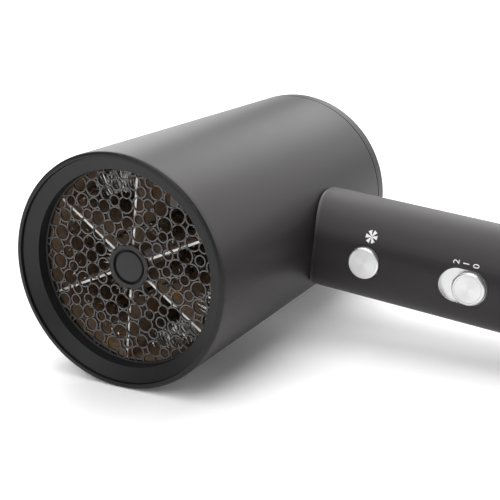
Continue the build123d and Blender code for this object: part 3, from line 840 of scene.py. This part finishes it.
def end_cap_screws():
    """Two screws with cross recesses in their domed heads."""
    low, high = in_barrel("end_cap_screws")
    head_r, shank_r, head_t = 2.8, 1.4, 1.1
    slot = (3.0, 0.55, 1.0)
    length = high.x - low.x
    profile = [(0.4, 0.0), (1.4, 0.03), (head_r - 0.5, 0.16)]
    profile += arc(head_r - 0.3, 0.48, 0.3, -75, 0, 3)
    profile += [(head_r, head_t), (shank_r, head_t), (shank_r, length)]
    screw = turned("end_cap_screw", profile, 48)
    for turn in (20, 110):
        clear_selection()
        bpy.ops.mesh.primitive_cube_add(size=1, location=(0, 0, 0.2))
        blade = bpy.context.object
        edit(blade)
        bpy.ops.mesh.select_all(action="SELECT")
        bpy.ops.transform.resize(value=slot)
        leave()
        settle_pattern(blade)
        blade.data.transform(Matrix.Rotation(math.radians(turn), 4, "Z"))
        modify(screw, "BOOLEAN", object=blade, operation="DIFFERENCE", solver="EXACT")
        remove(blade)
    offset = high.z - head_r
    pair = [copy_of(screw, from_tip(z, TIP_X - high.x)) for z in (offset, -offset)]
    remove(screw)
    pair = join("end_cap_screw_pair", pair)
    settle(pair, PLACE, 30)
    dress(pair, dark_steel_finish, "housing", "screw_steel", "end_cap_screws")


def cord_gland():
    """Rubber bush with a rounded mouth, for the cord."""
    low, high = in_barrel("cord_gland")
    lip_r = (high.z - low.z) / 2
    bore, wall, mouth = 3.3, 5.3, 0.6
    lip_start = TIP_X - SHELL_HIGH.x  # the lip lies behind the end cap
    lip_end = lip_start + 1.2
    length = high.x - low.x
    profile = [(bore, length), (bore, mouth)] + arc(bore + mouth, mouth, mouth, 180, 270, 5)
    profile += arc(wall - mouth, mouth, mouth, -90, 0, 5)
    profile += [(wall, lip_start), (lip_r, lip_start), (lip_r, lip_end)]
    profile += [(wall, lip_end), (wall, length)]
    gland = turned("gland_bush", profile, 64, closed=True)
    settle(gland, PLACE @ from_tip())
    dress(gland, rubber_finish, "housing", "gland_rubber", "cord_gland")


# ---- print on the handle ----------------------------------------------------------------
INK_LIFT, INK_THICK = 0.015, 0.03

# The figures, how far each is from the knob along the handle, and how far up the handle.
FIGURES = (("2", -5.6, 7.65), ("1", -2.3, 7.65), ("0", 1.0, 7.6))
FIGURE_SIZE = 2.9
FLAKE_PLACE = (0.6, 8.8)  # from the button along the handle, and up the handle


def wrap_on_handle(piece):
    """Lays a flat piece, drawn in x and z, on the handle's round front."""
    for vertex in piece.data.vertices:
        x, z = vertex.co.x, vertex.co.y
        lift = INK_LIFT if vertex.co.z < 0 else INK_LIFT + INK_THICK
        y = HANDLE_Y - math.sqrt((HANDLE_R + lift) ** 2 - z * z)
        vertex.co = (x, y, z)


def number(text, x, z):
    """One printed figure, its top towards the barrel."""
    clear_selection()
    bpy.ops.object.text_add(location=(0, 0, 0))
    figure = bpy.context.object
    figure.data.body = text
    figure.data.align_x = figure.data.align_y = "CENTER"
    figure.data.size = FIGURE_SIZE
    figure.data.extrude = 0.02
    figure.data.resolution_u = 4
    bpy.ops.object.convert(target="MESH")
    figure = bpy.context.object
    quarter = Matrix.Rotation(math.radians(90), 4, "Z")
    figure.data.transform(Matrix.Translation((x, z, 0)) @ quarter)
    return figure


def flake_ray(turn):
    """One wedge of the printed snowflake, wide at its outer end."""
    clear_selection()
    bpy.ops.mesh.primitive_plane_add(size=1, location=(0, 0, 0))
    ray = bpy.context.object
    places = [(0.14, -0.08), (0.14, 0.08), (2.0, -0.66), (2.0, 0.66)]
    corners = sorted(ray.data.vertices, key=lambda v: (round(v.co.x), v.co.y))
    for vertex, (x, y) in zip(corners, places):
        vertex.co = (x, y, 0)
    edit(ray)
    bpy.ops.mesh.select_all(action="SELECT")
    bpy.ops.mesh.subdivide(number_cuts=4)
    bpy.ops.mesh.extrude_region_move(TRANSFORM_OT_translate={"value": (0, 0, -0.04)})
    leave()
    ray.data.transform(Matrix.Translation((0, 0, 0.02)))
    ray.data.transform(Matrix.Rotation(math.radians(turn), 4, "Z"))
    return ray


def printed_marks():
    """Snowflake over the cool button, and the steps of the speed knob over its tray."""
    flake = join("snowflake_print", [flake_ray(60 * k) for k in range(6)])
    flake.data.transform(Matrix.Translation((BUTTON_X + FLAKE_PLACE[0], FLAKE_PLACE[1], 0)))
    numbers = join("step_numbers", [number(text, KNOB_X + x, z) for text, x, z in FIGURES])
    for mark in (flake, numbers):
        wrap_on_handle(mark)
        settle(mark, PLACE)
        dress(mark, print_finish, "housing", "print_white")


# ---- the CAD nodes that stay, with their finishes ---------------------------------------
KEPT = {
    "barrel_shell": barrel_finish, "handle_shell": shell_finish, "rear_cover": shell_finish,
    "handle_end_cap": shell_finish, "outlet_bezel": bezel_finish, "root_collar": dark_finish,
    "heater_liner": liner_finish, "heater_core": ceramic_finish, "heater_collar": duct_finish,
    "thermostat": ceramic_finish, "thermal_fuse": bronze_finish, "fan_duct": duct_finish,
    "motor_can": steel_finish, "motor_magnets": dark_finish, "motor_end_cap": dark_finish,
    "motor_bushings": bronze_finish, "motor_brushes": dark_finish,
    "motor_screws": dark_steel_finish, "motor_shaft": steel_finish,
    "motor_armature": copper_finish, "motor_commutator": copper_finish,
    "fan_impeller": fan_finish, "intake_screen": screen_finish, "filter_mesh": weave_finish,
    "filter_retainer": bezel_finish,
    "switch_frame": dark_finish, "control_board": green_finish, "board_screws": steel_finish,
    "cool_plunger": white_finish, "cool_switch": dark_finish, "slide_tray": tray_finish,
    "slide_carrier": white_finish, "slide_lever": dark_finish, "slide_switch": dark_finish,
    "motor_leads": red_finish, "heater_leads": glass_sleeve_finish,
}
KEPT.update({f"heater_board_{k}": board_finish for k in range(1, 7)})


def dress_kept_nodes():
    """Gives each CAD piece that stays its finish."""
    for node, material in KEPT.items():
        mesh = frame["nodes"][node].data
        mesh.materials.clear()
        mesh.materials.append(material)


# ---- floor, light and camera ------------------------------------------------------------
FLOOR_GLOW = 0.08
AMBIENT = 0.02


def stage():
    """Wide pale floor that glows a little, so that it runs out to white."""
    clear_selection()
    bpy.ops.mesh.primitive_plane_add(size=80, location=(0, 0, 0))
    floor = bpy.context.object
    floor.name = "floor"
    paper = Finish("floor_paper", roughness=0.9, specular_ior_level=0.1)
    tone = paper.noise(400, 2.0)
    paper.set("Base Color", paper.mix(tone, (0.95, 0.95, 0.95), (0.97, 0.97, 0.97)))
    paper.set("Emission Color", (1, 1, 1))
    paper.set("Emission Strength", FLOOR_GLOW)
    floor.data.materials.append(paper.material)


# Soft boxes round the table: name, side (0 is the handle's, 90 behind), height, size, strength.
SOFT_BOXES = (
    ("overhead", 0, 90, 50, 1.97),
    ("behind_high", 90, 45, 40, 1.0),
    ("behind_left_high", 135, 45, 40, 1.0),
    ("behind_low", 90, 20, 36, 0.7),
    ("behind_left_low", 135, 20, 36, 1.0),
    ("behind_right_low", 45, 20, 36, 0.9),
    ("front_high", 270, 45, 40, 1.1),
    ("front_left_high", 225, 45, 40, 0.2),
    ("front_right_high", 315, 45, 40, 0.1),
)


def studio():
    """Soft boxes in a dim room, before a backdrop that is white where it is seen."""
    world = bpy.data.worlds.new("studio")
    bpy.context.scene.world = world
    world.use_nodes = True
    backdrop = world.node_tree.nodes["Background"]
    backdrop.inputs["Color"].default_value = (1, 1, 1, 1)
    ray = world.node_tree.nodes.new("ShaderNodeLightPath")
    seen = Value(world.node_tree, ray.outputs["Is Camera Ray"])
    world.node_tree.links.new((seen + AMBIENT).socket, backdrop.inputs["Strength"])
    for name, side, height, spread, strength in SOFT_BOXES:
        side, height = math.radians(side), math.radians(height)
        light = bpy.data.lights.new(name, "SUN")
        light.angle = math.radians(spread)
        light.energy = strength
        lamp = bpy.data.objects.new(name, light)
        bpy.context.scene.collection.objects.link(lamp)
        towards = Vector((
            math.cos(height) * math.cos(side), math.cos(height) * math.sin(side), math.sin(height)
        ))
        lamp.rotation_euler = towards.to_track_quat("Z", "Y").to_euler()


# Where the eye is and what it looks at, in barrel radii from the middle of the outlet.
EYE = Vector((4.3194, -6.5341, 3.0527))
AIM = Vector((1.1888, 0.0, 0.497))
EYE_ROLL = 5.543  # degrees


def camera():
    """Low three-quarter view into the outlet, the handle running out of view."""
    view = bpy.data.cameras.new("camera")
    view.lens = 74.19
    view.sensor_width = 36
    view.clip_start = 0.01
    eye = bpy.data.objects.new("camera", view)
    bpy.context.scene.collection.objects.link(eye)
    eye.location = PLACE @ (EYE * BARREL_R)
    behind = (EYE - AIM).normalized()
    level = Vector((0, 0, 1)).cross(behind).normalized()
    right = Matrix.Rotation(math.radians(EYE_ROLL), 3, behind) @ level
    up = behind.cross(right)
    dip = Matrix.Rotation(DIP, 3, "Y")
    eye.rotation_euler = (dip @ Matrix((right, up, behind)).transposed()).to_euler()
    bpy.context.scene.camera = eye


bpy.context.scene.view_settings.view_transform = "Standard"
camera()
studio()
stage()
dress_kept_nodes()
outlet_grille()
grille_cap()
cool_key()
speed_key()
end_cap_screws()
cord_gland()
coil(
    "outer_coil", "heater_wire_outer", ring_r=28.0, reach=3.9, depth_r=0.9, wire_r=0.2,
    bunches=OUTER_BUNCHES, sag=1.3,
)
coil(
    "inner_coil", "heater_wire_inner", ring_r=11.4, reach=2.2, depth_r=0.8, wire_r=0.17,
    bunches=INNER_BUNCHES, sag=0.2,
)
printed_marks()

clear_selection()
